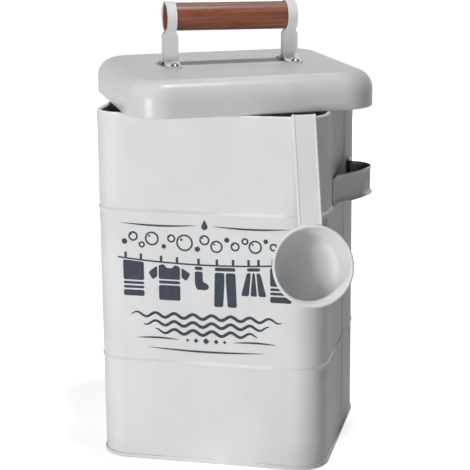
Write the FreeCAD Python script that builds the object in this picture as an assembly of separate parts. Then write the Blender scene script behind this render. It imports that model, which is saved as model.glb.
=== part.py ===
import FreeCAD, Part
import math
import os

from FreeCAD import Matrix, Placement, Rotation, Vector

# Laundry powder tin with a lift-off lid, a wooden grip, a side loop and a hanging scoop.
# Millimetres. The origin is the centre of the tin's underside, +Z up, -Y is the printed front.

# Every tight fold of the sheet is drawn in straight steps of about this many degrees
fold_step = 30
spare = 1.0                  # by which a cutting form reaches past what it trims
near = 0.01                  # distance within which two places count as the same

# Tin
tin_width = 169.0
tin_depth = 154.0
tin_height = 260.0
tin_corner_radius = 22.0
tin_sheet = 0.5
curl_radius = 1.5            # inward rolled rim, outer radius of the roll
rib_heights = (76.1, 188.5)
rib_half_height = 2.7
rib_proud = 0.8
side_seam_y = 15.0
side_seam_width = 5.0
side_seam_proud = 0.6
side_seam_edge = 0.4         # radius of its two long edges
side_seam_gap = 0.2          # above the folded edge of the base

# Base
base_recess = 2.4            # underside of the panel above the ground
base_fold_height = 3.2       # folded edge round the foot of the wall
base_fold_proud = 1.0
base_edge_radius = 0.6
base_ring_width = 2.0        # flat border of the panel, drawn together with the folded edge

# Lid
lid_width = 181.0
lid_depth = 166.0
lid_corner_radius = 27.5
lid_height = 26.2
lid_top_radius = 14.0
lid_sheet = 0.5
lid_hem_height = 4.5
lid_hem_thickness = 1.4
lid_turn = 27.1              # degrees, anticlockwise from above, as it lies on the rim
lid_shift = (0.5, 3.4)       # of its middle from the tin's middle

# Grip and its two strap brackets; the right bracket is bent a little lower than the left
grip_radius = 10.2
grip_length = 96.8
grip_end_radius = 0.8
left_axis_height = 35.2      # of the grip above the lid's top face, at the left bracket
right_axis_height = 33.7
bracket_place = 45.5         # each side of the lid's centre
loop_clearance = 0.08        # between grip and strap
strap_thickness = 1.1
leg_width = 11.0
band_width = 7.2             # of the strap round the grip
leg_spacing = 6.7            # between the strap's middle planes
foot_bend_radius = 6.5
neck_bend_radius = 3.0
rivet_place = 16.0           # in front of and behind the grip's axis
shoulder_drop = 9.0          # below the grip's axis, where the band starts to widen
shoulder_length = 5.5
shoulder_pull = 0.55         # share of that length over which the curve stays upright at each end

# Dome-head rivets
rivet_head_radius = 3.4
rivet_head_height = 2.2
rivet_shank_radius = 2.1
rivet_tail_radius = 2.9
rivet_tail_height = 1.1

# Loop on the right wall
loop_middle_height = 200.1
loop_half_height = 10.2
loop_sheet = 1.0
loop_front_end = -40.0
loop_front_root = -29.0
loop_back_end = 43.0
loop_root_radius = 3.0
loop_front_angle = 42.0      # degrees away from the wall where the strap leaves it
loop_apex_angle = 15.0
loop_reach = 19.4            # of the strap's middle line beyond the tongues
loop_nose_radius = 15.5
loop_flare_height = 4.5
loop_flare_low = 1.9
loop_flare_high = 0.9
loop_tongue_corner = 5.0

# Scoop, in its own frame: X across the strap, -Y out of the mouth, +Z up along the strap
scoop_turn = 21.4            # degrees round the tin's corner from the front
scoop_lean = 17.6            # degrees from upright, the cup's base bears on the tin
scoop_strap_width = 17.0
scoop_strap_thickness = 1.0
scoop_bead_radius = 1.1      # soft beads along the strap's long edges
scoop_bead_proud = 0.35
scoop_length = 104.8         # from the top of the hook to the middle of the mouth
hook_gap = 6.2
hook_leg_length = 8.5
hook_bend_radius = 1.2
mouth_radius = 28.5
mouth_roll_radius = 1.2
cup_sheet = 0.6
cup_taper = 8.3              # degrees
cup_depth = 30.25
cup_base_corner = 8.0
tongue_end = 20.0            # depth to which the strap's end follows the cup's wall
tongue_bend_radius = 1.2
tongue_spread = 25.0         # degrees each side of the middle, before it is trimmed to width
tongue_corner = 4.0
seat_clearance = 0.02        # between the scoop's pieces, and between scoop and rim


def arc_points(centre, radius, start, end):
    """Middle and end point of an arc in a section, angles in degrees."""
    middle = math.radians((start + end) / 2)
    last = math.radians(end)
    return (
        (centre[0] + radius * math.cos(middle), centre[1] + radius * math.sin(middle)),
        (centre[0] + radius * math.cos(last), centre[1] + radius * math.sin(last)),
    )


def fold_points(centre, radius, start, end):
    """A tight fold as short straight steps, which keeps the thin sheet's rolled edges light."""
    count = max(2, round(abs(end - start) / fold_step))
    points = []
    for index in range(1, count + 1):
        turned = math.radians(start + (end - start) * index / count)
        x = centre[0] + radius * math.cos(turned)
        y = centre[1] + radius * math.sin(turned)
        points.append(((x, y),))
    return points


def closed_wire(start, steps, place):
    """Closed wire from lines (one point) and arcs (middle and end point)."""
    edges = []
    here = place(*start)
    for step in steps:
        there = place(*step[-1])
        if len(step) == 1:
            edges.append(Part.makeLine(here, there))
        else:
            edges.append(Part.Arc(here, place(*step[0]), there).toShape())
        here = there
    first = place(*start)
    if here.distanceToPoint(first) > near:
        edges.append(Part.makeLine(here, first))
    return Part.Wire(edges)


def rounded_rectangle(width, depth, radius, height):
    """Wire that starts at the left end of the front side and runs anticlockwise."""
    side_x = width / 2 - radius
    side_y = depth / 2 - radius
    edges = []
    corners = ((side_x, -side_y), (side_x, side_y), (-side_x, side_y), (-side_x, -side_y))
    here = Vector(-side_x, -depth / 2, height)
    for quarter, (x, y) in enumerate(corners):
        turn = -90 + 90 * quarter
        (start, middle, end) = [
            Vector(
                x + radius * math.cos(math.radians(turn + step)),
                y + radius * math.sin(math.radians(turn + step)),
                height,
            )
            for step in (0, 45, 90)
        ]
        edges.append(Part.makeLine(here, start))
        edges.append(Part.Arc(start, middle, end).toShape())
        here = end
    return Part.Wire(edges)


def rounded_plate(width, depth, radius, low, high):
    """Flat plate with rounded corners."""
    face = Part.Face(rounded_rectangle(width, depth, radius, low))
    return face.extrude(Vector(0, 0, high - low))


def follow(section, moves):
    """Carry a section along straight runs (a vector) and turns (centre, axis, degrees)."""
    face = Part.Face(section)
    stretches = []
    for move in moves:
        if isinstance(move, Vector):
            stretches.append(face.extrude(move))
            face = face.translated(move)
        else:
            stretches.append(face.revolve(*move))
            face = face.rotated(*move)
    return stretches[0].fuse(stretches[1:]).removeSplitter()


def sweep_round(section, width, depth, radius):
    """Solid ring: a section drawn outward from the front side, carried round the outline."""
    x = width / 2 - radius
    y = depth / 2 - radius
    up = Vector(0, 0, 1)
    moves = [
        Vector(2 * x, 0, 0),
        (Vector(x, -y, 0), up, 90),
        Vector(0, 2 * y, 0),
        (Vector(x, y, 0), up, 90),
        Vector(-2 * x, 0, 0),
        (Vector(-x, y, 0), up, 90),
        Vector(0, -2 * y, 0),
        (Vector(-x, -y, 0), up, 90),
    ]
    return follow(section, moves)


def outward_section(start, steps, width, depth, radius):
    """Section wire, each point given as (distance outward, height)."""
    left = -(width / 2 - radius)
    return closed_wire(start, steps, lambda out, up: Vector(left, -depth / 2 - out, up))


def rib_outside(height):
    """The three arcs of one rib on the wall's outer face, from below to above."""
    radius = (rib_half_height**2 + rib_proud**2) / (4 * rib_proud)
    swing = math.degrees(math.asin(rib_half_height / 2 / radius))
    low = (radius, height - rib_half_height)
    crown = (rib_proud - radius, height)
    high = (radius, height + rib_half_height)
    return [
        ((0, height - rib_half_height),),
        arc_points(low, radius, 180, 180 - swing),
        arc_points(crown, radius, -swing, swing),
        arc_points(high, radius, 180 + swing, 180),
    ]


def rib_inside(height):
    """The same rib on the wall's inner face, from above to below, in straight steps."""
    face = -tin_sheet
    half = rib_half_height / 2
    middle = face + rib_proud / 2
    return [
        ((face, height + rib_half_height),),
        ((middle, height + half),),
        ((face + rib_proud, height),),
        ((middle, height - half),),
        ((face, height - rib_half_height),),
    ]


def body_shell():
    """One wrapped sheet with two ribs, an inward rolled rim and a raised side seam."""
    low = tin_sheet
    curl_height = tin_height - curl_radius
    curl = (-curl_radius, curl_height)
    curl_inner = curl_radius - tin_sheet
    steps = []
    for height in rib_heights:
        steps += rib_outside(height)
    steps.append(((0, curl_height),))
    steps += fold_points(curl, curl_radius, 0, 270)
    steps.append(((-curl_radius, curl_height - curl_inner),))
    steps += fold_points(curl, curl_inner, 270, 0)
    for height in reversed(rib_heights):
        steps += rib_inside(height)
    steps.append(((-tin_sheet, low),))
    section = outward_section((0, low), steps, tin_width, tin_depth, tin_corner_radius)
    shell = sweep_round(section, tin_width, tin_depth, tin_corner_radius)
    seam_low = base_fold_height + side_seam_gap
    seam = Part.makeBox(
        side_seam_proud + tin_sheet / 2,
        side_seam_width,
        curl_height - seam_low,
        Vector(tin_width / 2 - tin_sheet / 2, side_seam_y - side_seam_width / 2, seam_low),
    )
    outer = tin_width / 2 + side_seam_proud
    long_edges = [
        edge for edge in seam.Edges
        if edge.BoundBox.XMin > outer - near and edge.BoundBox.ZLength > tin_height / 2
    ]
    seam = seam.makeFillet(side_seam_edge, long_edges)
    return shell.fuse(seam).removeSplitter()


def base_plate():
    """Recessed bottom panel whose edge is folded round the foot of the wall."""
    leg = -2 * tin_sheet
    fold_tip = base_fold_proud / 2
    panel_edge = leg - base_ring_width
    panel_top = base_recess + tin_sheet
    edge = base_edge_radius
    steps = [
        ((leg, panel_top),),
        *fold_points((leg, base_recess), tin_sheet, 90, 0),
        ((-tin_sheet, tin_sheet),),
        ((0, tin_sheet),),
        ((0, base_fold_height - fold_tip),),
        *fold_points((fold_tip, base_fold_height - fold_tip), fold_tip, 180, 0),
        ((base_fold_proud, edge),),
        *fold_points((base_fold_proud - edge, edge), edge, 0, -90),
        ((leg + edge, 0),),
        *fold_points((leg + edge, edge), edge, -90, -180),
        ((leg, base_recess),),
        ((panel_edge, base_recess),),
    ]
    section = outward_section(
        (panel_edge, panel_top), steps, tin_width, tin_depth, tin_corner_radius
    )
    ring = sweep_round(section, tin_width, tin_depth, tin_corner_radius)
    panel = rounded_plate(
        tin_width + 2 * panel_edge,
        tin_depth + 2 * panel_edge,
        tin_corner_radius + panel_edge,
        base_recess,
        panel_top,
    )
    return ring.fuse(panel).removeSplitter()


def lid_block(inset):
    """Solid lid form, smaller all round by the inset."""
    block = rounded_plate(
        lid_width - 2 * inset,
        lid_depth - 2 * inset,
        lid_corner_radius - inset,
        0,
        lid_height - inset,
    )
    top = lid_height - inset
    rim = [edge for edge in block.Edges if edge.BoundBox.ZMin > top - near]
    return block.makeFillet(lid_top_radius - inset, rim)


def lid_shell():
    """Deep-drawn lid with a wide soft top edge, a folded hem and four rivet holes."""
    shell = lid_block(0).cut(lid_block(lid_sheet))
    half = lid_hem_thickness / 2
    steps = [
        ((0, lid_hem_height),),
        ((-half, lid_hem_height),),
        *fold_points((-half, lid_hem_height - half), half, 90, 180),
        ((-lid_hem_thickness, half),),
        *fold_points((-half, half), half, 180, 360),
    ]
    hem_section = outward_section((0, half), steps, lid_width, lid_depth, lid_corner_radius)
    hem = sweep_round(hem_section, lid_width, lid_depth, lid_corner_radius)
    foot = rounded_plate(
        lid_width + 2 * spare, lid_depth + 2 * spare, lid_corner_radius + spare, -spare, half
    )
    shell = shell.cut(foot).fuse(hem)
    for x in (-bracket_place, bracket_place):
        for y in (-rivet_place, rivet_place):
            shell = shell.cut(rivet_hole(x, y, lid_height - lid_sheet, lid_sheet))
    return shell.removeSplitter()


def rivet_hole(x, y, low, thick):
    """Round cutter that passes through one sheet."""
    return Part.makeCylinder(rivet_shank_radius, thick + 2 * spare, Vector(x, y, low - spare))


def strap_side(axis_height, offset):
    """One face of the bracket strap seen from the side: back foot, loop, front foot.

    Points are (distance behind the grip's axis, height above the lid's top face). The face
    lies at the offset outside the strap's middle line. Returns the start and the steps.
    """
    foot = strap_thickness / 2
    leg = leg_spacing / 2
    loop = (0, axis_height)
    loop_radius = grip_radius + loop_clearance + strap_thickness / 2
    reach = loop_radius + neck_bend_radius
    neck_x = leg + neck_bend_radius
    neck_drop = math.sqrt(reach**2 - neck_x**2)
    neck = (neck_x, axis_height - neck_drop)
    meet = math.degrees(math.atan2(neck_drop, neck_x))
    bend = (leg + foot_bend_radius, foot + foot_bend_radius)
    foot_end = rivet_place + leg_width / 2
    neck_face = neck_bend_radius - offset
    foot_face = foot_bend_radius - offset
    steps = [
        ((bend[0], foot + offset),),
        arc_points(bend, foot_face, 270, 180),
        ((leg + offset, neck[1]),),
        arc_points(neck, neck_face, 180, 180 - meet),
        arc_points(loop, loop_radius + offset, -meet, 180 + meet),
        mirrored(arc_points(neck, neck_face, 180 - meet, 180)),
        ((-leg - offset, bend[1]),),
        mirrored(arc_points(bend, foot_face, 180, 270)),
        ((-foot_end, foot + offset),),
    ]
    return (foot_end, foot + offset), steps


def mirrored(step):
    """The same step on the other side of the grip's axis."""
    return tuple((-across, up) for across, up in step)


def reversed_steps(start, steps):
    """The same line walked backwards from its last point to its start."""
    ends = [start] + [step[-1] for step in steps]
    back = []
    for index in range(len(steps) - 1, -1, -1):
        back.append(steps[index][:-1] + (ends[index],))
    return back


def bracket(place_x, axis_height):
    """Strap looped round the grip, pinched to two legs, with its feet turned out flat."""
    half = strap_thickness / 2
    start, outer = strap_side(axis_height, half)
    inner_start, inner = strap_side(axis_height, -half)
    steps = outer + [(inner[-1][-1],)] + reversed_steps(inner_start, inner)
    side = closed_wire(start, steps, lambda behind, up: Vector(-leg_width / 2, behind, up))
    strap = Part.Face(side).extrude(Vector(leg_width, 0, 0))
    top = axis_height + grip_radius + loop_clearance + strap_thickness + spare
    strap = strap.common(bracket_front_outline(axis_height, top))
    strap = strap.common(bracket_foot_outline(top))
    for y in (-rivet_place, rivet_place):
        strap = strap.cut(rivet_hole(0, y, 0, strap_thickness))
    strap.translate(Vector(place_x, 0, lid_height))
    return strap


def bracket_front_outline(axis_height, top):
    """Width of the strap seen from the front: full at the legs, narrow round the grip."""
    leg = leg_width / 2
    band = band_width / 2
    shoulder_top = axis_height - shoulder_drop
    shoulder_low = shoulder_top - shoulder_length
    pull = shoulder_length * shoulder_pull
    front = -2 * rivet_place
    sides = []
    for side in (1, -1):
        curve = Part.BezierCurve()
        curve.setPoles([
            Vector(side * leg, front, shoulder_low),
            Vector(side * leg, front, shoulder_low + pull),
            Vector(side * band, front, shoulder_top - pull),
            Vector(side * band, front, shoulder_top),
        ])
        low = Part.makeLine(
            Vector(side * leg, front, -spare), Vector(side * leg, front, shoulder_low)
        )
        high = Part.makeLine(
            Vector(side * band, front, shoulder_top), Vector(side * band, front, top)
        )
        sides += [low, curve.toShape(), high]
    foot = Part.makeLine(Vector(-leg, front, -spare), Vector(leg, front, -spare))
    head = Part.makeLine(Vector(-band, front, top), Vector(band, front, top))
    face = Part.Face(Part.Wire(Part.__sortEdges__([foot, head] + sides)))
    return face.extrude(Vector(0, -2 * front, 0))


def bracket_foot_outline(top):
    """Plan of the strap: as wide as the legs, with round ends about the rivets."""
    radius = leg_width / 2
    tall = top + spare
    low = Vector(-radius, -rivet_place, -spare)
    outline = Part.makeBox(leg_width, 2 * rivet_place, tall, low)
    for y in (-rivet_place, rivet_place):
        outline = outline.fuse(Part.makeCylinder(radius, tall, Vector(0, y, -spare)))
    return outline


def grip():
    """Turned wooden rod through both loops, its ends a little inside their outer edges."""
    middle = lid_height + (left_axis_height + right_axis_height) / 2
    along = Vector(2 * bracket_place, 0, right_axis_height - left_axis_height).normalize()
    start = Vector(0, 0, middle) - along * (grip_length / 2)
    rod = Part.makeCylinder(grip_radius, grip_length, start, along)
    ends = [edge for edge in rod.Edges if isinstance(edge.Curve, Part.Circle)]
    return rod.makeFillet(grip_end_radius, ends)


def lid_rivet(x, y):
    """Dome head on the bracket's foot, shank through foot and lid, tail under the lid."""
    head_low = lid_height + strap_thickness
    tail_high = lid_height - lid_sheet
    dome = (rivet_head_radius**2 + rivet_head_height**2) / (2 * rivet_head_height)
    lean = math.degrees(math.asin(rivet_head_radius / dome))
    centre = (0, head_low + rivet_head_height - dome)
    steps = [
        ((rivet_tail_radius, tail_high - rivet_tail_height),),
        ((rivet_tail_radius, tail_high),),
        ((rivet_shank_radius, tail_high),),
        ((rivet_shank_radius, head_low),),
        ((rivet_head_radius, head_low),),
        arc_points(centre, dome, 90 - lean, 90),
    ]
    start = (0, tail_high - rivet_tail_height)
    half = closed_wire(start, steps, lambda out, up: Vector(x + out, y, up))
    return Part.Face(half).revolve(Vector(x, y, 0), Vector(0, 0, 1), 360)


def on_tin(shape):
    """Carry a piece from the lid's frame to where the lid lies on the rim."""
    place = Vector(lid_shift[0], lid_shift[1], tin_height)
    turned = Placement(place, Rotation(Vector(0, 0, 1), lid_turn))
    shape.Placement = turned.multiply(shape.Placement)
    return shape


def loop_moves():
    """Runs and turns of the side loop's strap, from the front tongue backwards."""
    leave = math.radians(loop_front_angle)
    apex = math.radians(loop_apex_angle)
    rise = loop_root_radius * (1 - math.cos(leave)) + loop_nose_radius * (1 - math.cos(apex))
    bow_radius = (loop_reach - rise) / (math.cos(apex) - math.cos(leave))
    turns = (
        (loop_root_radius, loop_front_angle),
        (bow_radius, loop_apex_angle - loop_front_angle),
        (loop_nose_radius, -90 - loop_apex_angle),
    )
    here = Vector(tin_width / 2 + loop_sheet / 2, loop_front_root, 0)
    moves = [Vector(0, loop_front_root - loop_front_end, 0)]
    heading = 0
    for radius, swing in turns:
        move, here = turn_from(here, heading, radius, swing)
        moves.append(move)
        heading += swing
    back = loop_reach - loop_nose_radius - loop_root_radius
    moves.append(Vector(-back, 0, 0))
    here = here - Vector(back, 0, 0)
    move, here = turn_from(here, heading, loop_root_radius, -heading)
    moves.append(move)
    moves.append(Vector(0, loop_back_end - here.y, 0))
    return moves


def turn_from(here, heading, radius, swing):
    """Turn and its end point; headings in degrees from +Y towards +X."""
    side = math.copysign(radius, swing)
    start = math.radians(heading)
    end = math.radians(heading + swing)
    centre = here + Vector(math.cos(start), -math.sin(start), 0) * side
    there = centre - Vector(math.cos(end), -math.sin(end), 0) * side
    return (centre, Vector(0, 0, 1), -swing), there


def loop_section():
    """Section of the side loop's strap: flat in the middle, both edges flared outward."""
    half = loop_sheet / 2
    plain = loop_half_height - loop_flare_height
    arcs = {}
    for side, flare in ((1, loop_flare_high), (-1, loop_flare_low)):
        radius = (loop_flare_height**2 + flare**2) / (2 * flare)
        tip = 180 - side * math.degrees(math.asin(loop_flare_height / radius))
        centre = (radius, side * plain)
        arcs[side] = (
            arc_points(centre, radius + half, 180, tip),
            arc_points(centre, radius - half, tip, 180),
            arc_points(centre, radius - half, 180, tip),
            arc_points(centre, radius + half, tip, 180),
        )
    steps = [
        arcs[1][0],
        (arcs[1][2][1],),
        arcs[1][1],
        ((half, -plain),),
        arcs[-1][2],
        (arcs[-1][0][1],),
        arcs[-1][3],
    ]
    wall = tin_width / 2 + half
    return closed_wire(
        (-half, plain), steps, lambda out, up: Vector(wall + out, loop_front_end, up)
    )


def side_loop():
    """Bent strap with flared edges, its two tongues flat on the right wall."""
    strap = follow(loop_section(), loop_moves()).common(loop_side_outline())
    strap.translate(Vector(0, 0, loop_middle_height))
    return strap


def loop_side_outline():
    """The strap seen from the side: its tongues end in rounded corners."""
    length = loop_back_end - loop_front_end
    wide = 3 * loop_reach
    tall = 2 * (loop_half_height + spare)
    low = Vector(tin_width / 2 - loop_reach, loop_front_end, -tall / 2)
    outline = Part.makeBox(wide, length, tall, low)
    corners = [edge for edge in outline.Edges if edge.BoundBox.XLength > wide / 2]
    return outline.makeFillet(loop_tongue_corner, corners)


def scoop_placement():
    """Carry the scoop's own frame to the rolled rim at the front right corner."""
    turn = math.radians(scoop_turn)
    lean = math.radians(scoop_lean)
    out = Vector(math.sin(turn), -math.cos(turn), 0)
    across = Vector(math.cos(turn), math.sin(turn), 0)
    face = out * math.cos(lean) + Vector(0, 0, math.sin(lean))
    up = Vector(0, 0, math.cos(lean)) - out * math.sin(lean)
    corner = Vector(tin_width / 2 - tin_corner_radius, -(tin_depth / 2 - tin_corner_radius), 0)
    origin = corner + out * (tin_corner_radius - curl_radius)
    origin += Vector(0, 0, tin_height - curl_radius)
    matrix = Matrix(
        across.x, -face.x, up.x, origin.x,
        across.y, -face.y, up.y, origin.y,
        across.z, -face.z, up.z, origin.z,
        0, 0, 0, 1,
    )
    return Placement(matrix)


def hook_lift():
    """The hook's flat top sits on the curved rim at its two side edges, above the middle."""
    reach = tin_corner_radius - curl_radius
    half = scoop_strap_width / 2
    sagitta = reach - math.sqrt(reach**2 - half**2)
    return sagitta * math.sin(math.radians(scoop_lean)) + seat_clearance


def strap_back():
    """Y of the strap's back face, which touches the rolled rim."""
    return -curl_radius - seat_clearance


def mouth_middle():
    """Y of the mouth's front plane and Z of its centre, in the scoop's frame."""
    front = strap_back() - scoop_strap_thickness - seat_clearance - 2 * mouth_roll_radius
    top = curl_radius + hook_lift() + scoop_strap_thickness
    return front, top - scoop_length


def cup_wall(deep):
    """Radius of the cup's outer face at a depth behind the mouth."""
    slope = math.tan(math.radians(cup_taper))
    return mouth_radius - 2 * mouth_roll_radius + cup_sheet - (deep - mouth_roll_radius) * slope


def scoop_cup():
    """Drawn cup: outward rolled mouth, tapered wall, round base corner and flat base."""
    front, middle = mouth_middle()
    roll = mouth_roll_radius
    lip = roll - cup_sheet
    roll_centre = (mouth_radius - roll, roll)
    inner_depth = cup_depth - cup_sheet
    inner_corner = cup_base_corner - cup_sheet
    along = cup_depth - cup_base_corner
    corner = (cup_wall(along) - cup_base_corner / math.cos(math.radians(cup_taper)), along)
    steps = [
        ((corner[0], cup_depth),),
        arc_points(corner, cup_base_corner, 90, cup_taper),
        ((cup_wall(roll), roll),),
        *fold_points(roll_centre, lip, 180, 450),
        ((roll_centre[0], 2 * roll),),
        *fold_points(roll_centre, roll, 450, 180),
        (arc_points(corner, inner_corner, 90, cup_taper)[1],),
        arc_points(corner, inner_corner, cup_taper, 90),
        ((0, inner_depth),),
    ]
    section = closed_wire(
        (0, cup_depth), steps, lambda out, deep: Vector(out, front + deep, middle)
    )
    cup = Part.Face(section).revolve(Vector(0, front, middle), Vector(0, 1, 0), 360)
    cup.Placement = scoop_placement()
    return cup


def strap_section(height):
    """Flat strap with a half-round bead along each long edge."""
    half = scoop_strap_width / 2
    bead = scoop_bead_radius
    bead_middle = half - bead
    crest = scoop_strap_thickness + scoop_bead_proud
    level = crest - bead
    meet = math.degrees(math.asin((scoop_strap_thickness - level) / bead))
    flat = bead_middle - bead * math.cos(math.radians(meet))
    steps = [
        ((half, 0),),
        ((half, level),),
        *fold_points((bead_middle, level), bead, 0, 180 - meet),
        ((-flat, scoop_strap_thickness),),
        *fold_points((-bead_middle, level), bead, meet, 180),
        ((-half, 0),),
    ]
    back = strap_back()
    return closed_wire((-half, 0), steps, lambda x, out: Vector(x, back - out, height))


def hook_moves(low):
    """From the mouth up, over the rim and down its inner side."""
    bend = hook_bend_radius
    back = strap_back()
    under = curl_radius + hook_lift()
    across = Vector(-1, 0, 0)
    return [
        Vector(0, 0, under - bend - low),
        (Vector(0, back + bend, under - bend), across, 90),
        Vector(0, hook_gap - 2 * bend, 0),
        (Vector(0, back + hook_gap - bend, under - bend), across, 90),
        Vector(0, 0, bend - hook_leg_length),
    ]


def scoop_handle():
    """Strap hooked over the rim; its lower end follows the cup's wall behind the mouth."""
    front, middle = mouth_middle()
    low = middle + mouth_radius / 2
    strap = follow(strap_section(low), hook_moves(low)).cut(room_for_cup(front, middle))
    strap = strap.fuse(strap_tongue(front, middle)).removeSplitter()
    strap.Placement = scoop_placement()
    return strap


def room_for_cup(front, middle):
    """The cup's outer form with its rolled mouth, a clearance larger."""
    behind = 2 * mouth_roll_radius + seat_clearance
    roll = mouth_radius + seat_clearance
    steps = [
        ((roll, -mouth_radius),),
        ((roll, behind),),
        ((cup_wall(behind) + seat_clearance, behind),),
        ((cup_wall(cup_depth) + seat_clearance, cup_depth),),
        ((0, cup_depth),),
    ]
    section = closed_wire(
        (0, -mouth_radius), steps, lambda out, deep: Vector(out, front + deep, middle)
    )
    return Part.Face(section).revolve(Vector(0, front, middle), Vector(0, 1, 0), 360)


def strap_tongue(front, middle):
    """End of the strap, bent back and formed to the cup's wall."""
    thick = scoop_strap_thickness
    face = 2 * mouth_roll_radius + seat_clearance
    back = face + thick
    bend = tongue_bend_radius
    wall = cup_wall(back + bend) + seat_clearance + thick
    end = cup_wall(tongue_end) + seat_clearance
    steps = [
        ((wall + bend, face),),
        ((wall + bend, back),),
        arc_points((wall + bend, back + bend), bend, 270, 180),
        ((end + thick, tongue_end),),
        ((end, tongue_end),),
    ]
    half = scoop_strap_width / 2
    spread = math.radians(tongue_spread)
    section = closed_wire(
        (cup_wall(face) + seat_clearance, face),
        steps,
        lambda out, deep: Vector(
            -out * math.sin(spread), front + deep, middle + out * math.cos(spread)
        ),
    )
    ring = Part.Face(section).revolve(
        Vector(0, front, middle), Vector(0, 1, 0), 2 * math.degrees(spread)
    )
    tall = 2 * mouth_radius
    outline = Part.makeBox(2 * half, tongue_end, tall, Vector(-half, front, middle))
    corners = [
        edge for edge in outline.Edges
        if edge.BoundBox.ZLength > mouth_radius and edge.BoundBox.YMin > front + spare
    ]
    return ring.common(outline.makeFillet(tongue_corner, corners))


pieces = {
    "body_shell": body_shell,
    "base_plate": base_plate,
    "lid_shell": lambda: on_tin(lid_shell()),
    "grip": lambda: on_tin(grip()),
    "bracket_left": lambda: on_tin(bracket(-bracket_place, left_axis_height)),
    "bracket_right": lambda: on_tin(bracket(bracket_place, right_axis_height)),
    "lid_rivet_left_front": lambda: on_tin(lid_rivet(-bracket_place, -rivet_place)),
    "lid_rivet_left_back": lambda: on_tin(lid_rivet(-bracket_place, rivet_place)),
    "lid_rivet_right_front": lambda: on_tin(lid_rivet(bracket_place, -rivet_place)),
    "lid_rivet_right_back": lambda: on_tin(lid_rivet(bracket_place, rivet_place)),
    "side_loop": side_loop,
    "scoop_cup": scoop_cup,
    "scoop_handle": scoop_handle,
}

os.makedirs("parts", exist_ok=True)
for name, make in pieces.items():
    shape = make()
    print(name, shape.isValid(), len(shape.Solids), round(shape.Volume, 1))
    shape.exportStep("parts/" + name + ".step")
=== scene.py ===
import math

import bmesh
import bpy
from mathutils import Matrix, Vector


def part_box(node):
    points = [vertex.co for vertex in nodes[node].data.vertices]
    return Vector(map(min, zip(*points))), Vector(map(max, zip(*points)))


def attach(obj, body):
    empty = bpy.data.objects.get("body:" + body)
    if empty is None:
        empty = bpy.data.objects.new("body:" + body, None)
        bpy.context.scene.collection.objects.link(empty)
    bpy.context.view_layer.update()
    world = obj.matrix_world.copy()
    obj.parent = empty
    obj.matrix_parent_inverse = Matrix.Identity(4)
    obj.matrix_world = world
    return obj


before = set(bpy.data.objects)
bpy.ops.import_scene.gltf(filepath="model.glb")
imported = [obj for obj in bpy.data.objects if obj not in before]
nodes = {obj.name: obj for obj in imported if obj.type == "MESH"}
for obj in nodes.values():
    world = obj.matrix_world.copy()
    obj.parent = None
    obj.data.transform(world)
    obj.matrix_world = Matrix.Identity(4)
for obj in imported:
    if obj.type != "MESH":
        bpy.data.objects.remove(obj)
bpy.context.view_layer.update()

mm = 0.001


def linearColour(hexValue):
    # sRGB hex to the linear values that Blender's sockets take
    out = []
    for place in (0, 2, 4):
        value = int(hexValue[place:place + 2], 16) / 255
        out.append(value / 12.92 if value <= 0.04045 else ((value + 0.055) / 1.055) ** 2.4)
    return (out[0], out[1], out[2], 1.0)


def addNode(tree, kind, settings=None, inputs=None, links=None):
    # one node with its settings, its socket values and the sockets that feed it; sockets with
    # the same name go by number: in a mix of colours 0 is the share, 6 and 7 are the colours
    # and output 2 is the mix
    node = tree.nodes.new(kind)
    for name, value in (settings or {}).items():
        setattr(node, name, value)
    for name, value in (inputs or {}).items():
        node.inputs[name].default_value = value
    for name, source in (links or {}).items():
        tree.links.new(source, node.inputs[name])
    return node


def newMaterial(name):
    material = bpy.data.materials.new(name)
    material.use_nodes = True
    material.node_tree.nodes.clear()
    return material, material.node_tree


def dress(names, material):
    for name in names:
        obj = nodes[name]
        obj.data.materials.clear()
        obj.data.materials.append(material)


# powder-coated steel sheet: tin, loop, brackets and scoop, and the lid a shade deeper
paintLook = {
    "patchSize": 40.0,        # mm, where the coat lies thinner
    "thinAt": 0.35,           # height of that noise where it is thin
    "fullAt": 0.65,           # and where it is full
    "ior": 1.5,
    "peelSize": 1.8,          # mm, ripple of the sprayed coat
    "peelHeight": 0.006,      # mm
    "waveSize": 48.0,         # mm, soft waviness of the thin sheet
    "waveHeight": 0.10,       # mm
}
# the coat and its thinner patches, its roughness, and how strongly it shines
mattCoat = {"full": "DDDDDD", "thin": "D8D8D8", "roughness": 0.5, "specular": 0.04}
satinCoat = {"full": "CCCCCD", "thin": "C7C7C8", "roughness": 0.32, "specular": 0.28}
# the side loop wears the tin's coat painted a shade lighter, as painted light on its outside,
# and painted shade inside where other sheet closes in: deep is the shaded tone, reach how
# near in mm other sheet counts, samples the rays that look for it, and closed and clear the
# shares of open room between which the tone changes
loopCoatWithPaintedShade = {
    "full": "E4E4E4", "thin": "DFDFDF", "roughness": 0.5, "specular": 0.06,
    "deep": "3C3C3E", "reach": 60.0, "closed": 0.3, "clear": 0.62, "samples": 12,
}


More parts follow.
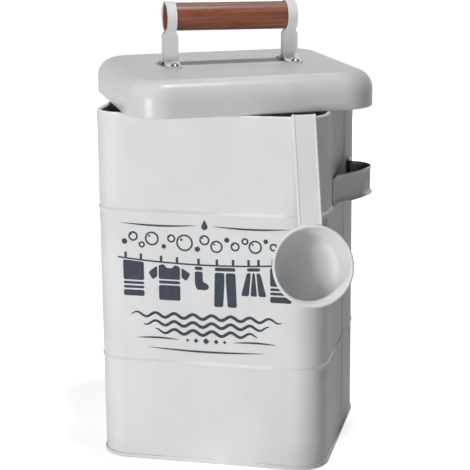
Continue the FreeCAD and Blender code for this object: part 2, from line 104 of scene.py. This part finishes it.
def powderCoat(name, coat):
    # powder coat on thin sheet steel: soft broad highlights, a faint orange peel and a very
    # slow waviness that bends the highlights on the large walls
    material, tree = newMaterial(name)
    place = addNode(tree, "ShaderNodeTexCoord")
    patch = addNode(tree, "ShaderNodeTexNoise", {"noise_dimensions": "3D"},
                    {"Scale": 1 / (paintLook["patchSize"] * mm), "Detail": 2.0},
                    {"Vector": place.outputs["Object"]})
    share = addNode(tree, "ShaderNodeMapRange", None,
                    {"From Min": paintLook["thinAt"], "From Max": paintLook["fullAt"]},
                    {"Value": patch.outputs["Fac"]})
    colour = addNode(tree, "ShaderNodeMix", {"data_type": "RGBA"},
                     {6: linearColour(coat["thin"]), 7: linearColour(coat["full"])},
                     {0: share.outputs["Result"]})
    # painted shade: the coat's colour is mixed towards the deep tone where other sheet is near
    if "deep" in coat:
        gap = addNode(tree, "ShaderNodeAmbientOcclusion", {"samples": coat["samples"]},
                      {"Distance": coat["reach"] * mm})
        paintedShadeShare = addNode(tree, "ShaderNodeMapRange", None,
                        {"From Min": coat["closed"], "From Max": coat["clear"],
                         "To Min": 1.0, "To Max": 0.0},
                        {"Value": gap.outputs["AO"]})
        colour = addNode(tree, "ShaderNodeMix", {"data_type": "RGBA"},
                         {7: linearColour(coat["deep"])},
                         {0: paintedShadeShare.outputs["Result"], 6: colour.outputs[2]})
    peel = addNode(tree, "ShaderNodeTexNoise", {"noise_dimensions": "3D"},
                   {"Scale": 1 / (paintLook["peelSize"] * mm), "Detail": 1.0},
                   {"Vector": place.outputs["Object"]})
    wave = addNode(tree, "ShaderNodeTexNoise", {"noise_dimensions": "3D"},
                   {"Scale": 1 / (paintLook["waveSize"] * mm), "Detail": 0.0},
                   {"Vector": place.outputs["Object"]})
    waveBump = addNode(tree, "ShaderNodeBump", None,
                       {"Strength": 1.0, "Distance": paintLook["waveHeight"] * mm},
                       {"Height": wave.outputs["Fac"]})
    peelBump = addNode(tree, "ShaderNodeBump", None,
                       {"Strength": 1.0, "Distance": paintLook["peelHeight"] * mm},
                       {"Height": peel.outputs["Fac"], "Normal": waveBump.outputs["Normal"]})
    shader = addNode(tree, "ShaderNodeBsdfPrincipled", None,
                     {"Roughness": coat["roughness"], "IOR": paintLook["ior"],
                      "Specular IOR Level": coat["specular"]},
                     {"Base Color": colour.outputs[2], "Normal": peelBump.outputs["Normal"]})
    addNode(tree, "ShaderNodeOutputMaterial", None, None, {"Surface": shader.outputs["BSDF"]})
    return material


# stained hardwood grip
woodLook = {
    "turn": 27.1,             # degrees, the grip lies along the lid's long side
    "pale": "91543A",         # early wood under the stain
    "deep": "6F3926",         # late wood
    "pore": "43200F",
    "end": 0.35,              # the end grain drinks more stain
    "endRoughness": 0.8,      # and is left as sawn
    "endSpecular": 0.1,
    # how squarely a face looks along the rod: 0 on its round side, 1 on a sawn end
    "sideRange": (0.5, 0.8),  # the painted shadow lines fade out in this range
    "endRange": (0.8, 0.95),  # and a sawn end begins in this one
    "bandEdge": 41.9,         # mm from the middle, where the straps grip the rod
    "shadowLineWidth": 1.4,          # mm, painted shadow line along them
    "shadowLineDark": 0.9,
    "grainWidth": 3.2,        # mm across the grain
    "grainLength": 60.0,      # mm along it
    "grainDetail": 4.0,
    "grainRough": 0.6,
    "grainBend": 0.3,
    "grainRange": (0.36, 0.66),     # heights of its noise that give late and early wood
    "poreWidth": 0.9,         # mm, drawn wider than the real 0.2 so that pores show
    "poreLength": 9.0,        # mm
    "poreRange": (0.56, 0.68),      # heights of its noise where a pore begins and is open
    "poreDark": 0.42,
    "roughness": 0.4,
    "ior": 1.5,
    "specular": 0.4,
    "oil": 0.2,               # weight of the thin film on the turned side
    "oilRoughness": 0.35,
    "poreDepth": 0.05,        # mm
}


def oiledHardwood():
    # reddish brown hardwood under thin oil: long bands of grain, short dark pores that lie
    # along the rod, and a soft gloss in a line along its top
    material, tree = newMaterial("oiledHardwood")
    place = addNode(tree, "ShaderNodeTexCoord")
    turned = addNode(tree, "ShaderNodeMapping", None,
                     {"Rotation": (0, 0, -math.radians(woodLook["turn"]))},
                     {"Vector": place.outputs["Object"]})
    grainPlace = addNode(tree, "ShaderNodeMapping", None,
                         {"Scale": (woodLook["grainWidth"] / woodLook["grainLength"], 1.0, 1.0)},
                         {"Vector": turned.outputs["Vector"]})
    grain = addNode(tree, "ShaderNodeTexNoise", {"noise_dimensions": "3D"},
                    {"Scale": 1 / (woodLook["grainWidth"] * mm),
                     "Detail": woodLook["grainDetail"], "Roughness": woodLook["grainRough"],
                     "Distortion": woodLook["grainBend"]},
                    {"Vector": grainPlace.outputs["Vector"]})
    porePlace = addNode(tree, "ShaderNodeMapping", None,
                        {"Scale": (woodLook["poreWidth"] / woodLook["poreLength"], 1.0, 1.0)},
                        {"Vector": turned.outputs["Vector"]})
    pore = addNode(tree, "ShaderNodeTexNoise", {"noise_dimensions": "3D"},
                   {"Scale": 1 / (woodLook["poreWidth"] * mm), "Detail": 1.0},
                   {"Vector": porePlace.outputs["Vector"]})
    early = addNode(tree, "ShaderNodeMapRange", None,
                    {"From Min": woodLook["grainRange"][0], "From Max": woodLook["grainRange"][1]},
                    {"Value": grain.outputs["Fac"]})
    tone = addNode(tree, "ShaderNodeMix", {"data_type": "RGBA"},
                   {6: linearColour(woodLook["deep"]), 7: linearColour(woodLook["pale"])},
                   {0: early.outputs["Result"]})
    openPore = addNode(tree, "ShaderNodeMapRange", None,
                       {"From Min": woodLook["poreRange"][0], "From Max": woodLook["poreRange"][1],
                        "To Max": woodLook["poreDark"]},
                       {"Value": pore.outputs["Fac"]})
    colour = addNode(tree, "ShaderNodeMix", {"data_type": "RGBA"},
                     {7: linearColour(woodLook["pore"])},
                     {0: openPore.outputs["Result"], 6: tone.outputs[2]})
    # darker on the sawn ends, and a thin painted shadow line beside each strap
    turn = math.radians(woodLook["turn"])
    axis = (math.cos(turn), math.sin(turn), 0)
    low, high = [Vector(corner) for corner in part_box("grip")]
    facing = addNode(tree, "ShaderNodeVectorMath", {"operation": "DOT_PRODUCT"}, {1: axis},
                     {0: place.outputs["Normal"]})
    facing = addNode(tree, "ShaderNodeMath", {"operation": "ABSOLUTE"}, None,
                     {0: facing.outputs["Value"]})
    sawn = addNode(tree, "ShaderNodeMapRange", None,
                   {"From Min": woodLook["endRange"][0], "From Max": woodLook["endRange"][1]},
                   {"Value": facing.outputs[0]})
    end = addNode(tree, "ShaderNodeMath", {"operation": "MULTIPLY"}, {1: woodLook["end"]},
                  {0: sawn.outputs["Result"]})
    fromMiddle = addNode(tree, "ShaderNodeVectorMath", {"operation": "SUBTRACT"},
                         {1: (low + high) / 2}, {0: place.outputs["Object"]})
    along = addNode(tree, "ShaderNodeVectorMath", {"operation": "DOT_PRODUCT"}, {1: axis},
                    {0: fromMiddle.outputs["Vector"]})
    along = addNode(tree, "ShaderNodeMath", {"operation": "ABSOLUTE"}, None,
                    {0: along.outputs["Value"]})
    # painted shadow: a dark line on the rod along each strap's inner edge, where shade falls in
    # the gap
    line = addNode(tree, "ShaderNodeMapRange", {"interpolation_type": "SMOOTHSTEP"},
                   {"From Min": (woodLook["bandEdge"] - woodLook["shadowLineWidth"]) * mm,
                    "From Max": woodLook["bandEdge"] * mm, "To Max": woodLook["shadowLineDark"]},
                   {"Value": along.outputs[0]})
    notEnd = addNode(tree, "ShaderNodeMapRange", None,
                     {"From Min": woodLook["sideRange"][0], "From Max": woodLook["sideRange"][1],
                      "To Min": 1.0, "To Max": 0.0},
                     {"Value": facing.outputs[0]})
    line = addNode(tree, "ShaderNodeMath", {"operation": "MULTIPLY"}, None,
                   {0: line.outputs["Result"], 1: notEnd.outputs["Result"]})
    dark = addNode(tree, "ShaderNodeMath", {"operation": "MAXIMUM"}, None,
                   {0: end.outputs[0], 1: line.outputs[0]})
    colour = addNode(tree, "ShaderNodeMix", {"data_type": "RGBA"},
                     {7: linearColour(woodLook["pore"])},
                     {0: dark.outputs[0], 6: colour.outputs[2]})
    bump = addNode(tree, "ShaderNodeBump", {"invert": True},
                   {"Strength": 1.0, "Distance": woodLook["poreDepth"] * mm},
                   {"Height": openPore.outputs["Result"]})
    rough = addNode(tree, "ShaderNodeMapRange", None,
                    {"To Min": woodLook["roughness"], "To Max": woodLook["endRoughness"]},
                    {"Value": sawn.outputs["Result"]})
    shine = addNode(tree, "ShaderNodeMapRange", None,
                    {"To Min": woodLook["specular"], "To Max": woodLook["endSpecular"]},
                    {"Value": sawn.outputs["Result"]})
    oil = addNode(tree, "ShaderNodeMapRange", None,
                  {"To Min": woodLook["oil"], "To Max": 0.0},
                  {"Value": sawn.outputs["Result"]})
    shader = addNode(tree, "ShaderNodeBsdfPrincipled", None,
                     {"IOR": woodLook["ior"], "Coat Roughness": woodLook["oilRoughness"]},
                     {"Base Color": colour.outputs[2], "Roughness": rough.outputs["Result"],
                      "Specular IOR Level": shine.outputs["Result"],
                      "Coat Weight": oil.outputs["Result"],
                      "Normal": bump.outputs["Normal"]})
    addNode(tree, "ShaderNodeOutputMaterial", None, None, {"Surface": shader.outputs["BSDF"]})
    return material


# dome-head rivets
rivetLook = {
    "bright": "A8A8A7",
    "dull": "868685",
    "dullSize": 1.6,          # mm, patches of the worn plating
    "dullAt": 0.35,           # height of their noise where it is dull
    "brightAt": 0.65,         # and where it is bright
    "roughness": 0.27,
}


def nickelPlatedSteel():
    # barrel-plated steel rivets: a soft mirror, a little greyer where the plating is thin
    material, tree = newMaterial("nickelPlatedSteel")
    place = addNode(tree, "ShaderNodeTexCoord")
    patch = addNode(tree, "ShaderNodeTexNoise", {"noise_dimensions": "3D"},
                    {"Scale": 1 / (rivetLook["dullSize"] * mm), "Detail": 2.0},
                    {"Vector": place.outputs["Object"]})
    share = addNode(tree, "ShaderNodeMapRange", None,
                    {"From Min": rivetLook["dullAt"], "From Max": rivetLook["brightAt"]},
                    {"Value": patch.outputs["Fac"]})
    colour = addNode(tree, "ShaderNodeMix", {"data_type": "RGBA"},
                     {6: linearColour(rivetLook["dull"]), 7: linearColour(rivetLook["bright"])},
                     {0: share.outputs["Result"]})
    shader = addNode(tree, "ShaderNodeBsdfPrincipled", None,
                     {"Metallic": 1.0, "Roughness": rivetLook["roughness"]},
                     {"Base Color": colour.outputs[2]})
    addNode(tree, "ShaderNodeOutputMaterial", None, None, {"Surface": shader.outputs["BSDF"]})
    return material


# slate screen-print ink
inkLook = {
    "full": "353D47",
    "thin": "3E4650",         # where the ink lies thinner
    "thinSize": 5.0,          # mm
    "fullAt": 0.42,           # height of that noise where it is full
    "thinAt": 0.75,           # and where it is thin
    "roughness": 0.6,
    "ior": 1.5,
    "specular": 0.2,
}


def screenPrintInk():
    # matt slate ink printed on the coat: even, a shade paler where it lies thin
    material, tree = newMaterial("slateScreenInk")
    place = addNode(tree, "ShaderNodeTexCoord")
    patch = addNode(tree, "ShaderNodeTexNoise", {"noise_dimensions": "3D"},
                    {"Scale": 1 / (inkLook["thinSize"] * mm), "Detail": 3.0},
                    {"Vector": place.outputs["Object"]})
    share = addNode(tree, "ShaderNodeMapRange", None,
                    {"From Min": inkLook["fullAt"], "From Max": inkLook["thinAt"]},
                    {"Value": patch.outputs["Fac"]})
    colour = addNode(tree, "ShaderNodeMix", {"data_type": "RGBA"},
                     {6: linearColour(inkLook["full"]), 7: linearColour(inkLook["thin"])},
                     {0: share.outputs["Result"]})
    shader = addNode(tree, "ShaderNodeBsdfPrincipled", None,
                     {"Roughness": inkLook["roughness"], "IOR": inkLook["ior"],
                      "Specular IOR Level": inkLook["specular"]},
                     {"Base Color": colour.outputs[2]})
    addNode(tree, "ShaderNodeOutputMaterial", None, None, {"Surface": shader.outputs["BSDF"]})
    return material


dress(["body_shell", "base_plate", "bracket_left", "bracket_right", "scoop_cup",
       "scoop_handle"], powderCoat("mattPowderCoat", mattCoat))
dress(["side_loop"], powderCoat("mattPowderCoatLoopPaintedShade", loopCoatWithPaintedShade))
dress(["lid_shell"], powderCoat("satinPowderCoat", satinCoat))
dress(["grip"], oiledHardwood())
dress(["lid_rivet_left_front", "lid_rivet_left_back", "lid_rivet_right_front",
       "lid_rivet_right_back"], nickelPlatedSteel())
print("finishes on the CAD pieces done")


# plain wash-day print on the front wall; its places are (across, up) in mm on the wall
# as if unrolled, from the middle of the wall and the ground
wall = {
    "foldProud": 1.0,         # mm, the base's folded edge stands this far out of the wall
    "cornerRadius": 22.0,
    "inkLift": 0.05,          # outer face of the ink above the coat
    "inkThickness": 0.03,
    "mostCut": 0.45,          # a softened corner takes no more than this share of a side
}
baseLow, baseHigh = [Vector(corner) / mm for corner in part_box("base_plate")]
wallFront = baseLow.y + wall["foldProud"]
wallFlat = baseHigh.x - wall["foldProud"] - wall["cornerRadius"]


def onWall(across, up):
    # wraps round the tin's corners past the flat part
    past = max(0.0, abs(across) - wallFlat)
    side = math.copysign(1.0, across)
    turn = past / wall["cornerRadius"]
    reach = wall["cornerRadius"] + wall["inkLift"]
    x = side * (min(abs(across), wallFlat) + reach * math.sin(turn))
    y = wallFront + wall["cornerRadius"] - reach * math.cos(turn)
    return Vector((x, y, up)) * mm


def addPatch(inkMesh, outline):
    # one flat field of ink; the outline runs anticlockwise
    inkMesh.faces.new([inkMesh.verts.new(onWall(x, y)) for x, y in outline])


def softened(outline, cut):
    # the same outline with its corners rounded off
    out = []
    for index, corner in enumerate(outline):
        here = Vector(corner)
        ends = []
        for other in (Vector(outline[index - 1]), Vector(outline[(index + 1) % len(outline)])):
            away = other - here
            ends.append(here + away.normalized() * min(cut, wall["mostCut"] * away.length))
        middle = (ends[0] + ends[1] + 2 * here) / 4
        out += [ends[0], middle, ends[1]]
    return out


def addStroke(inkMesh, line, halves):
    # a stroke of ink along a line, from left to right, with its half width at each point
    lower = []
    upper = []
    for index, half in enumerate(halves):
        before = Vector(line[max(index - 1, 0)])
        after = Vector(line[min(index + 1, len(line) - 1)])
        along = (after - before).normalized()
        across = Vector((-along.y, along.x)) * half
        lower.append(inkMesh.verts.new(onWall(*(Vector(line[index]) - across))))
        upper.append(inkMesh.verts.new(onWall(*(Vector(line[index]) + across))))
    for index in range(len(line) - 1):
        inkMesh.faces.new((lower[index], lower[index + 1], upper[index + 1], upper[index]))


def addRing(inkMesh, middle, radius, width, count):
    # bubble: an open ring, or a full dot where the width is the radius
    outer = []
    inner = []
    for index in range(count):
        turn = 2 * math.pi * index / count
        for ring, reach in ((outer, radius), (inner, radius - width)):
            ring.append((middle[0] + reach * math.cos(turn), middle[1] + reach * math.sin(turn)))
    if width >= radius:
        addPatch(inkMesh, outer)
        return
    outerVerts = [inkMesh.verts.new(onWall(*point)) for point in outer]
    innerVerts = [inkMesh.verts.new(onWall(*point)) for point in inner]
    for index in range(count):
        after = (index + 1) % count
        inkMesh.faces.new((innerVerts[index], outerVerts[index], outerVerts[after],
                           innerVerts[after]))


def newInkPiece(name, build, material):
    data = bpy.data.meshes.new(name)
    inkMesh = bmesh.new()
    build(inkMesh)
    inkMesh.to_mesh(data)
    inkMesh.free()
    piece = bpy.data.objects.new(name, data)
    bpy.context.scene.collection.objects.link(piece)
    layer = piece.modifiers.new("inkLayer", "SOLIDIFY")
    layer.thickness = wall["inkThickness"] * mm
    layer.offset = -1.0
    data.materials.append(material)
    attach(piece, "root")


bubbleLook = {
    "line": 1.3,              # mm, width of the open rings
    "points": 40,             # round each of them
    "glintFrom": 3.0,         # mm, a larger bubble has a small dot of a glint
    "glintPlace": (-0.38, 0.36),    # shares of the bubble's radius
    "glintSize": 0.16,
    "glintPoints": 16,
    # across, up, radius, full dot or open ring
    "bubbles": (
        (-60.5, 166.5, 2.1, True), (-54.0, 170.5, 3.6, False), (-47.6, 164.6, 2.4, False),
        (-40.0, 169.3, 5.2, False), (-31.2, 163.9, 1.7, True), (-25.6, 170.0, 3.1, False),
        (-15.8, 167.2, 6.2, False), (-6.4, 163.0, 2.0, True), (-1.2, 169.8, 3.8, False),
        (7.6, 165.4, 4.6, False), (15.2, 170.6, 1.9, True), (21.2, 166.0, 3.4, False),
        (28.4, 170.2, 2.6, False), (35.8, 166.4, 4.9, False), (43.4, 170.8, 1.7, True),
        (49.0, 166.8, 2.9, False), (55.6, 169.6, 2.2, True),
    ),
}


def bubbleRow(inkMesh):
    for x, y, radius, full in bubbleLook["bubbles"]:
        addRing(inkMesh, (x, y), radius, radius if full else bubbleLook["line"],
                bubbleLook["points"])
        if not full and radius > bubbleLook["glintFrom"]:
            across, up = bubbleLook["glintPlace"]
            glint = bubbleLook["glintSize"] * radius
            addRing(inkMesh, (x + across * radius, y + up * radius), glint, glint,
                    bubbleLook["glintPoints"])


lineLook = {
    "left": -66.0,
    "right": 64.0,
    "height": 154.6,          # of the line's ends
    "sag": 3.2,
    "thick": 1.2,
    "steps": 60,              # along it
    "gap": 0.7,               # mm, from the line down to the washing
    "pegWidth": 1.9,
    "pegHeight": 4.2,
    "pegSunk": 0.1,           # mm, of a peg within the line
    "pegCorner": 0.4,
    "corner": 1.3,            # mm, softened corners of the washing
    "scale": 1.05,            # of the washing
}


def lineHeight(across):
    middle = (lineLook["left"] + lineLook["right"]) / 2
    share = (across - middle) / (lineLook["right"] - middle)
    return lineLook["height"] - lineLook["sag"] * (1 - share * share)


# each garment as a few fields with narrow gaps between them; across from its middle, and
# down from the line
towel = (
    ((-7.4, 0), (-7.4, 13.6), (7.4, 13.6), (7.4, 0)),
    ((-7.4, 14.7), (-7.4, 16.6), (7.4, 16.6), (7.4, 14.7)),
    ((-7.4, 17.7), (-7.4, 19.6), (7.4, 19.6), (7.4, 17.7)),
    ((-7.4, 20.7), (-7.4, 25.0), (7.4, 25.0), (7.4, 20.7)),
)
shirt = (
    ((-4.0, 0), (-7.6, 1.2), (-7.6, 10.6), (7.6, 10.6), (7.6, 1.2), (4.0, 0), (2.0, 2.6),
     (-2.0, 2.6)),
    ((-7.6, 11.6), (-7.6, 13.8), (7.6, 13.8), (7.6, 11.6)),
    ((-7.6, 14.8), (-7.6, 25.5), (7.6, 25.5), (7.6, 14.8)),
    ((-8.6, 1.6), (-15.0, 6.0), (-12.0, 11.2), (-8.6, 9.0)),
    ((8.6, 9.0), (12.0, 11.2), (15.0, 6.0), (8.6, 1.6)),
)
trousers = (
    ((-7.2, 0), (-7.2, 2.6), (7.2, 2.6), (7.2, 0)),
    ((-7.2, 3.7), (-8.0, 28.0), (-1.6, 28.0), (-0.5, 11.0), (-0.5, 3.7)),
    ((0.5, 3.7), (0.5, 11.0), (1.6, 28.0), (8.0, 28.0), (7.2, 3.7)),
)
sock = (
    ((-2.8, 0), (-2.8, 2.4), (2.8, 2.4), (2.8, 0)),
    ((-2.8, 3.4), (-2.8, 12.6), (-1.4, 16.4), (5.6, 16.4), (7.4, 14.4), (6.2, 12.0),
     (2.8, 10.6), (2.8, 3.4)),
)
skirt = (
    ((-4.6, 0), (-4.6, 2.4), (4.6, 2.4), (4.6, 0)),
    ((-4.6, 3.5), (-8.8, 20.0), (-3.4, 20.0), (-1.8, 3.5)),
    ((-0.8, 3.5), (-2.3, 20.0), (2.3, 20.0), (0.8, 3.5)),
    ((1.8, 3.5), (3.4, 20.0), (8.8, 20.0), (4.6, 3.5)),
)
# garment, its middle on the line, and where its pegs are
washing = (
    (towel, -54.2, (-5.7, 5.7)),
    (shirt, -27.5, (-5.9, 5.9)),
    (sock, -5.7, (0.0,)),
    (trousers, 13.7, (-5.9, 5.9)),
    (skirt, 34.5, (-3.6, 3.6)),
    (towel, 54.2, (-5.7, 5.7)),
)


def washingLine(inkMesh):
    count = lineLook["steps"]
    span = lineLook["right"] - lineLook["left"]
    places = [lineLook["left"] + span * index / count for index in range(count + 1)]
    addStroke(inkMesh, [(x, lineHeight(x)) for x in places], [lineLook["thick"] / 2] * (count + 1))
    drop = lineLook["thick"] / 2 + lineLook["gap"]
    for garment, middle, pegs in washing:
        for field in garment:
            outline = []
            for x, down in field:
                x, down = lineLook["scale"] * x, lineLook["scale"] * down
                top = lineHeight(middle + x) if down < lineLook["sag"] else lineHeight(middle)
                outline.append((middle + x, top - drop - down))
            addPatch(inkMesh, softened(outline, lineLook["corner"]))
        for x in pegs:
            here = middle + x
            low = lineHeight(here) + lineLook["thick"] / 2 - lineLook["pegSunk"]
            high = low + lineLook["pegHeight"]
            half = lineLook["pegWidth"] / 2
            peg = ((here - half, low), (here + half, low), (here + half, high),
                   (here - half, high))
            addPatch(inkMesh, softened(peg, lineLook["pegCorner"]))


waveLook = {
    "rows": ((112.4, 56.0), (106.4, 47.0), (100.4, 38.0)),   # height, half length
    "middle": -1.0,
    "length": 14.0,           # of one wave
    "swing": 1.6,
    "thick": 2.3,
    "tip": 0.05,              # half width at the pointed ends
    "steps": 150,             # along a row
}


def waterRows(inkMesh):
    count = waveLook["steps"]
    for height, reach in waveLook["rows"]:
        line = []
        halves = []
        for index in range(count + 1):
            share = 2 * index / count - 1
            x = waveLook["middle"] + reach * share
            swing = waveLook["swing"] * math.sin(2 * math.pi * x / waveLook["length"])
            line.append((x, height + swing))
            halves.append(waveLook["tip"] + waveLook["thick"] / 2 * (1 - share ** 4) ** 0.5)
        addStroke(inkMesh, line, halves)


ruleLook = {
    "middle": -1.0,
    "thick": 1.3,
    "tip": 0.04,              # half width at the pointed ends
    "swell": 0.7,             # below 1, so that a rule is soon at its full width
    "steps": 36,              # along a rule
    # one to the left and one to the right: from, to, height, and how far it bows up
    "pairs": ((6.0, 62.0, 180.2, -1.2), (20.0, 52.0, 94.4, 0.8)),
    "lowReach": 44.0,         # half length of the rule under them
    "lowHeight": 87.6,
    "lowBow": -1.4,
    "lowThick": 1.43,
    "dropTip": 184.9,         # drop between the upper rules: height of its point
    "dropHeight": 179.6,      # and of the middle of its round end
    "dropRadius": 2.34,
    "dropRound": (160, 380),  # degrees, where the round end begins and stops
    "dropSteps": 16,
    "diamondHeight": 94.4,
    "diamondCorner": 0.3,
    "diamonds": ((0.0, 2.5), (7.5, 1.9), (13.8, 1.4)),       # from the middle, half height
}


def taperedRule(inkMesh, start, end, height, bow, thick):
    # thin rule, thickest in the middle, with its ends drawn out to points
    line = []
    halves = []
    for index in range(ruleLook["steps"] + 1):
        share = index / ruleLook["steps"]
        rise = math.sin(math.pi * share)
        line.append((start + (end - start) * share, height + bow * rise))
        halves.append(ruleLook["tip"] + thick / 2 * rise ** ruleLook["swell"])
    addStroke(inkMesh, line, halves)


def ruleRows(inkMesh):
    middle = ruleLook["middle"]
    for side in (-1, 1):
        for inner, outer, height, bow in ruleLook["pairs"]:
            ends = sorted((middle + side * inner, middle + side * outer))
            taperedRule(inkMesh, *ends, height, bow, ruleLook["thick"])
    taperedRule(inkMesh, middle - ruleLook["lowReach"], middle + ruleLook["lowReach"],
                ruleLook["lowHeight"], ruleLook["lowBow"], ruleLook["lowThick"])
    drop = [(middle, ruleLook["dropTip"])]
    begin, stop = ruleLook["dropRound"]
    for index in range(ruleLook["dropSteps"] + 1):
        turn = math.radians(begin + (stop - begin) * index / ruleLook["dropSteps"])
        drop.append((middle + ruleLook["dropRadius"] * math.cos(turn),
                     ruleLook["dropHeight"] + ruleLook["dropRadius"] * math.sin(turn)))
    addPatch(inkMesh, drop)
    up = ruleLook["diamondHeight"]
    for away, half in ruleLook["diamonds"]:
        for side in (-1, 1) if away else (1,):
            x = middle + side * away
            diamond = ((x - half, up), (x, up - half), (x + half, up), (x, up + half))
            addPatch(inkMesh, softened(diamond, ruleLook["diamondCorner"]))


ink = screenPrintInk()
newInkPiece("print_bubbles", bubbleRow, ink)
newInkPiece("print_washing_line", washingLine, ink)
newInkPiece("print_water_lines", waterRows, ink)
newInkPiece("print_rules", ruleRows, ink)
print("print done")


# floor and backdrop
stageLook = {
    "colour": "CACACA",       # pale, it throws light back up on the walls
    "near": 0.74,             # own brightness beside the tin, where its shadow falls
    "far": 1.0,               # and away from it
    "fadeFrom": 0.25,         # m
    "fadeTo": 0.95,
    "size": 8.0,
    "skyColour": "D2DEEE",    # cool fill from the room
    "sky": 0.045,
    "ceiling": 0.3,           # the backdrop is white low down and greyer overhead
    "ceilingFrom": 0.3,       # sine of the height angle where it gets there
}


def cameraOrGloss(tree):
    # 1 for what is seen straight, in a reflection or through glass
    rays = addNode(tree, "ShaderNodeLightPath")
    seen = addNode(tree, "ShaderNodeMath", {"operation": "MAXIMUM"}, None,
                   {0: rays.outputs["Is Camera Ray"], 1: rays.outputs["Is Glossy Ray"]})
    return addNode(tree, "ShaderNodeMath", {"operation": "MAXIMUM"}, None,
                   {0: seen.outputs[0], 1: rays.outputs["Is Transmission Ray"]}).outputs[0]


def paperSweep():
    # seamless white paper, matt: the lamps' shadow stays soft on it, and its own glow lifts
    # the rest to white
    material, tree = newMaterial("whitePaperSweep")
    place = addNode(tree, "ShaderNodeTexCoord")
    away = addNode(tree, "ShaderNodeVectorMath", {"operation": "LENGTH"}, None,
                   {0: place.outputs["Object"]})
    fade = addNode(tree, "ShaderNodeMapRange", {"interpolation_type": "SMOOTHSTEP"},
                   {"From Min": stageLook["fadeFrom"], "From Max": stageLook["fadeTo"],
                    "To Min": stageLook["near"], "To Max": stageLook["far"]},
                   {"Value": away.outputs["Value"]})
    shown = addNode(tree, "ShaderNodeMath", {"operation": "MULTIPLY"}, None,
                    {0: fade.outputs["Result"], 1: cameraOrGloss(tree)})
    lit = addNode(tree, "ShaderNodeBsdfDiffuse", None,
                  {"Color": linearColour(stageLook["colour"])})
    glow = addNode(tree, "ShaderNodeEmission", None, None, {"Strength": shown.outputs[0]})
    both = addNode(tree, "ShaderNodeAddShader", None, None,
                   {0: lit.outputs[0], 1: glow.outputs[0]})
    addNode(tree, "ShaderNodeOutputMaterial", None, None, {"Surface": both.outputs[0]})
    return material


bpy.ops.mesh.primitive_plane_add(size=stageLook["size"], location=(0, 0, 0))
floor = bpy.context.object
floor.name = "studioFloor"
floor.data.materials.append(paperSweep())

# the room: white low down where it is seen, and a weak cool fill where it only lights
world = bpy.data.worlds.new("studioWorld")
bpy.context.scene.world = world
world.use_nodes = True
world.node_tree.nodes.clear()
soft = addNode(world.node_tree, "ShaderNodeBackground", None,
               {"Color": linearColour(stageLook["skyColour"]), "Strength": stageLook["sky"]})
looking = addNode(world.node_tree, "ShaderNodeTexCoord")
direction = addNode(world.node_tree, "ShaderNodeSeparateXYZ", None, None,
                    {"Vector": looking.outputs["Generated"]})
fall = addNode(world.node_tree, "ShaderNodeMapRange", None,
               {"From Min": 0.0, "From Max": stageLook["ceilingFrom"], "To Min": 1.0,
                "To Max": stageLook["ceiling"]},
               {"Value": direction.outputs["Z"]})
white = addNode(world.node_tree, "ShaderNodeBackground", None, {"Color": (1, 1, 1, 1)},
                {"Strength": fall.outputs["Result"]})
mixed = addNode(world.node_tree, "ShaderNodeMixShader", None, None,
                {0: cameraOrGloss(world.node_tree), 1: soft.outputs[0], 2: white.outputs[0]})
addNode(world.node_tree, "ShaderNodeOutputWorld", None, None, {"Surface": mixed.outputs[0]})

# soft boxes: place and size in m, power in W
lamps = {
    "keyLamp": {"place": (-0.64, -1.36, 0.21), "size": 0.42, "power": 14.8, "colour": "FFFFFF"},
    "topLamp": {"place": (0.20, -0.15, 1.75), "size": 0.16, "power": 15.2, "colour": "FFFFFF"},
    "frontLamp": {"place": (-0.20, -0.90, 1.60), "size": 0.6, "power": 1.4, "colour": "FFFFFF"},
    "sideLamp": {"place": (0.39, -1.45, 0.25), "size": 0.6, "power": 1.6, "colour": "F0F5FF"},
    "hairLamp": {"place": (0.00, 0.95, 1.60), "size": 0.6, "power": 2.5, "colour": "FFFFFF"},
    "rearLamp": {"place": (-0.35, 1.45, 0.14), "size": 0.26, "power": 7.0, "colour": "FFFFFF"},
}
lampAim = (0, 0, 0.17)    # m, half way up from the ground to the grip
for name, look in lamps.items():
    light = bpy.data.lights.new(name, "AREA")
    light.shape = "DISK"
    light.size = look["size"]
    light.energy = look["power"]
    light.color = linearColour(look["colour"])[:3]
    lamp = bpy.data.objects.new(name, light)
    lamp.location = look["place"]
    aim = Vector(lampAim) - Vector(look["place"])
    lamp.rotation_euler = aim.to_track_quat("-Z", "Y").to_euler()
    bpy.context.scene.collection.objects.link(lamp)
# its mirror image would be a hard white line along the lid's back edge
bpy.data.objects["rearLamp"].visible_glossy = False
print("studio done")

# camera
shot = {
    "place": (251.91, -1078.93, 430.95),      # mm
    "turn": 12.966,           # degrees
    "down": 13.994,
    "roll": -0.549,
    "lens": 114.77,           # mm on a sensor 36 mm wide
    "sensor": 36,
}
cameraData = bpy.data.cameras.new("shotCamera")
cameraData.sensor_width = shot["sensor"]
cameraData.lens = shot["lens"]
camera = bpy.data.objects.new("shotCamera", cameraData)
camera.matrix_world = (
    Matrix.Translation(Vector(shot["place"]) * mm)
    @ Matrix.Rotation(math.radians(shot["turn"]), 4, "Z")
    @ Matrix.Rotation(math.radians(90 - shot["down"]), 4, "X")
    @ Matrix.Rotation(math.radians(shot["roll"]), 4, "Z")
)
bpy.context.scene.collection.objects.link(camera)
bpy.context.scene.camera = camera
bpy.context.scene.view_settings.view_transform = "Standard"
print("camera done")
